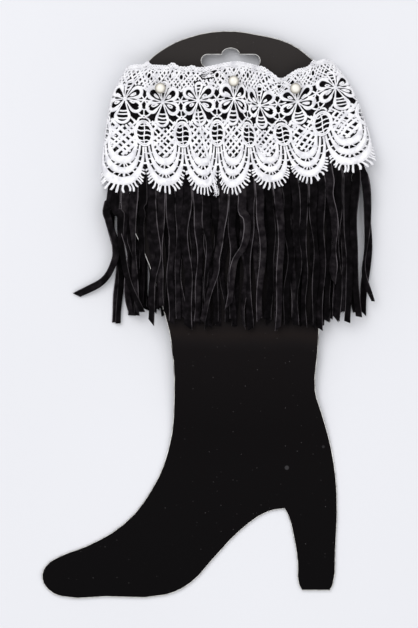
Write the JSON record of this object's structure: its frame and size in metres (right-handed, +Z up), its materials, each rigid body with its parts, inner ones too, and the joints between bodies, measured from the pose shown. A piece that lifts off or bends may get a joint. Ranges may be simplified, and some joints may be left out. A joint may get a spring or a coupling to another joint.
{
  "type": "pair of lace and fringe boot toppers on a boot-shaped display card",
  "caption": "Pair of white guipure lace boot toppers with black suede fringe and pearl beads, nested flat on a black boot-shaped display card with a hang slot.",
  "frame": {"origin": "middle of the part's box on the surface it lies on", "axes": "+Z up from the surface, +Y from the card's foot to its hang slot, +X to the viewer's right, towards the heel"},
  "size_m": [0.1818, 0.308, 0.0201],
  "materials": {
    "lace": "white cotton and rayon guipure lace, satin stitched",
    "suede": "black faux suede with a short matt nap",
    "pearl": "cream imitation pearl",
    "card": "black matt board with a pale cut edge"
  },
  "bodies": {
    "root": {"display_card": "card", "inner_band_back": "suede", "inner_band_front": "suede", "inner_fringe_back": "suede", "inner_fringe_front": "suede", "inner_lace_back": "lace", "inner_lace_front": "lace", "outer_band_back": "suede", "outer_band_front": "suede", "outer_fringe_back": "suede", "outer_fringe_front": "suede", "outer_lace_back": "lace", "outer_lace_front": "lace", "pearl_left": "pearl", "pearl_middle": "pearl", "pearl_right": "pearl"}
  },
  "joints": []
}
